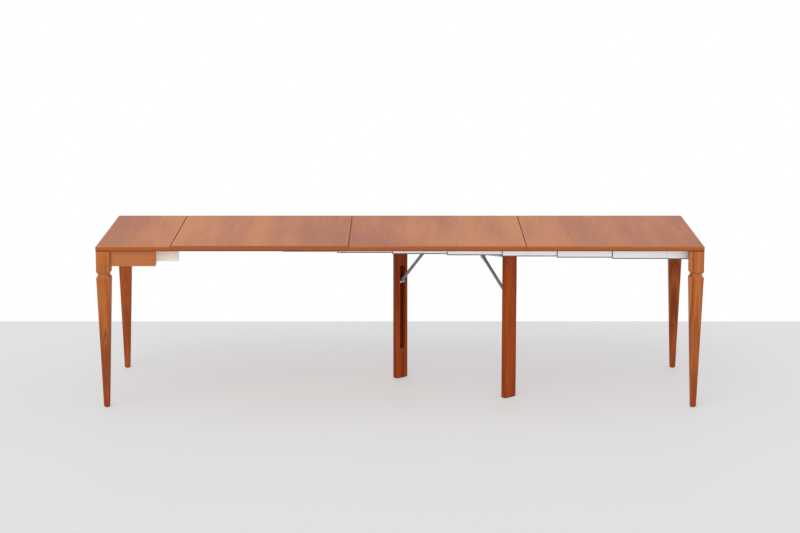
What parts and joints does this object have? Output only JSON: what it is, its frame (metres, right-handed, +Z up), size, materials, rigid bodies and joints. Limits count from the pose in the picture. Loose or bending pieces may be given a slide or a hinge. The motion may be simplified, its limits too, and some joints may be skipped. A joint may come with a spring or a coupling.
{
  "type": "extendable console table",
  "caption": "Cherry-stained console table that pulls out on telescopic rails to a long dining table with loose leaves and a swivelling fold-down middle support.",
  "frame": {"origin": "on the floor under the middle of the opened top", "axes": "+X along the length towards the moving frame, -Y to the front, +Z up"},
  "size_m": [2.85, 0.9, 0.78],
  "materials": {
    "cherry_wood": "satin lacquer",
    "middle_leg_wood": "satin lacquer",
    "pale_wood": "planed, unstained",
    "rail_aluminium": "satin anodised",
    "grey_steel": "satin grey",
    "bright_steel": "zinc plated",
    "dark_plastic": "moulded"
  },
  "bodies": {
    "fixed_frame": {"fixed_top": "cherry_wood", "left_leg_front": "cherry_wood", "left_leg_rear": "cherry_wood", "left_foot_glides": "dark_plastic", "left_end_apron": "cherry_wood", "side_apron_front": "cherry_wood", "side_apron_rear": "cherry_wood", "bearer_guides": "pale_wood"},
    "carriage": {"carriage_plate": "grey_steel", "bearer_front": "pale_wood", "bearer_rear": "pale_wood", "inner_guide_front": "rail_aluminium", "inner_guide_rear": "rail_aluminium"},
    "rail_stage_9": {"rail_9_front": "rail_aluminium", "rail_9_rear": "rail_aluminium"},
    "rail_stage_8": {"rail_8_front": "rail_aluminium", "rail_8_rear": "rail_aluminium"},
    "rail_stage_7": {"rail_7_front": "rail_aluminium", "rail_7_rear": "rail_aluminium"},
    "rail_stage_6": {"rail_6_front": "rail_aluminium", "rail_6_rear": "rail_aluminium"},
    "rail_stage_5": {"rail_5_front": "rail_aluminium", "rail_5_rear": "rail_aluminium"},
    "rail_stage_4": {"rail_4_front": "rail_aluminium", "rail_4_rear": "rail_aluminium", "crossbar": "grey_steel", "pivot_spacer": "dark_plastic"},
    "rail_stage_3": {"rail_3_front": "rail_aluminium", "rail_3_rear": "rail_aluminium"},
    "rail_stage_2": {"rail_2_front": "rail_aluminium", "rail_2_rear": "rail_aluminium"},
    "rail_stage_1": {"rail_1_front": "rail_aluminium", "rail_1_rear": "rail_aluminium"},
    "end_frame": {"right_leg_front": "cherry_wood", "right_leg_rear": "cherry_wood", "right_foot_glides": "dark_plastic", "right_end_apron": "cherry_wood", "rail_socket_front": "rail_aluminium", "rail_socket_rear": "rail_aluminium"},
    "support": {"support_beam": "grey_steel", "pivot_bolt": "bright_steel", "pivot_nut": "bright_steel", "beam_hinge_leaves": "grey_steel", "hinge_pins": "bright_steel", "strut_brackets": "grey_steel", "strut_pins": "bright_steel"},
    "left_middle_leg": {"left_middle_leg": "middle_leg_wood", "left_middle_foot_pad": "dark_plastic", "left_leg_hinge_leaf": "grey_steel"},
    "left_strut": {"left_strut": "grey_steel", "left_strut_shoe": "bright_steel"},
    "right_middle_leg": {"right_middle_leg": "middle_leg_wood", "right_middle_foot_pad": "dark_plastic", "right_leg_hinge_leaf": "grey_steel"},
    "right_strut": {"right_strut": "grey_steel", "right_strut_shoe": "bright_steel"},
    "leaf_1": {"leaf_1": "cherry_wood"},
    "leaf_2": {"leaf_2": "cherry_wood"},
    "leaf_3": {"leaf_3": "cherry_wood"}
  },
  "joints": [
    {"name": "carriage_slide", "type": "slide", "parent": "fixed_frame", "child": "carriage", "axis": [1, 0, 0], "range_m": [-0.057, 0]},
    {"name": "rail_9_slide", "type": "slide", "parent": "carriage", "child": "rail_stage_9", "axis": [1, 0, 0], "range_m": [-0.26011, 0]},
    {"name": "rail_8_slide", "type": "slide", "parent": "rail_stage_9", "child": "rail_stage_8", "axis": [1, 0, 0], "range_m": [-0.26011, 0]},
    {"name": "rail_7_slide", "type": "slide", "parent": "rail_stage_8", "child": "rail_stage_7", "axis": [1, 0, 0], "range_m": [-0.26011, 0]},
    {"name": "rail_6_slide", "type": "slide", "parent": "rail_stage_7", "child": "rail_stage_6", "axis": [1, 0, 0], "range_m": [-0.26011, 0]},
    {"name": "rail_5_slide", "type": "slide", "parent": "rail_stage_6", "child": "rail_stage_5", "axis": [1, 0, 0], "range_m": [-0.26011, 0]},
    {"name": "rail_4_slide", "type": "slide", "parent": "rail_stage_5", "child": "rail_stage_4", "axis": [1, 0, 0], "range_m": [-0.26011, 0]},
    {"name": "extension", "type": "slide", "parent": "rail_stage_4", "child": "rail_stage_3", "axis": [1, 0, 0], "range_m": [-0.26011, 0]},
    {"name": "rail_2_slide", "type": "slide", "parent": "rail_stage_3", "child": "rail_stage_2", "axis": [1, 0, 0], "range_m": [-0.26011, 0]},
    {"name": "rail_1_slide", "type": "slide", "parent": "rail_stage_2", "child": "rail_stage_1", "axis": [1, 0, 0], "range_m": [-0.26011, 0]},
    {"name": "end_frame_slide", "type": "slide", "parent": "rail_stage_1", "child": "end_frame", "axis": [1, 0, 0], "range_m": [-0.102, 0]},
    {"name": "support_swivel", "type": "hinge", "parent": "rail_stage_4", "child": "support", "pos_m": [0.29128, -0.04028, 0.693], "axis": [0, 0, 1], "range_deg": [-45, 0]},
    {"name": "left_leg_fold", "type": "hinge", "parent": "support", "child": "left_middle_leg", "pos_m": [0.01516, 0.18281, 0.683], "axis": [0.7071, 0.7071, 0], "range_deg": [-90, 0]},
    {"name": "left_strut_turn", "type": "hinge", "parent": "support", "child": "left_strut", "pos_m": [0.12476, 0.07321, 0.669], "axis": [0.7071, 0.7071, 0], "range_deg": [-133.36, 0]},
    {"name": "right_leg_fold", "type": "hinge", "parent": "support", "child": "right_middle_leg", "pos_m": [0.51084, -0.20681, 0.683], "axis": [-0.7071, -0.7071, 0], "range_deg": [-90, 0]},
    {"name": "right_strut_turn", "type": "hinge", "parent": "support", "child": "right_strut", "pos_m": [0.40124, -0.09721, 0.669], "axis": [-0.7071, -0.7071, 0], "range_deg": [-133.36, 0]},
    {"name": "leaf_1_lift", "type": "slide", "parent": "fixed_frame", "child": "leaf_1", "axis": [0, 0, -1], "range_m": [-0.3, 0]},
    {"name": "leaf_2_lift", "type": "slide", "parent": "fixed_frame", "child": "leaf_2", "axis": [0, 0, -1], "range_m": [-0.3, 0]},
    {"name": "leaf_3_lift", "type": "slide", "parent": "fixed_frame", "child": "leaf_3", "axis": [0, 0, -1], "range_m": [-0.3, 0]}
  ],
  "couplings": [
    {"joint": "carriage_slide", "follows": "extension", "ratio": 0.21914},
    {"joint": "rail_9_slide", "follows": "extension", "ratio": 1},
    {"joint": "rail_8_slide", "follows": "extension", "ratio": 1},
    {"joint": "rail_7_slide", "follows": "extension", "ratio": 1},
    {"joint": "rail_6_slide", "follows": "extension", "ratio": 1},
    {"joint": "rail_5_slide", "follows": "extension", "ratio": 1},
    {"joint": "rail_4_slide", "follows": "extension", "ratio": 1},
    {"joint": "rail_2_slide", "follows": "extension", "ratio": 1},
    {"joint": "rail_1_slide", "follows": "extension", "ratio": 1},
    {"joint": "end_frame_slide", "follows": "extension", "ratio": 0.39214},
    {"joint": "left_strut_turn", "follows": "left_leg_fold", "ratio": 1.4817},
    {"joint": "right_strut_turn", "follows": "right_leg_fold", "ratio": 1.4817}
  ]
}
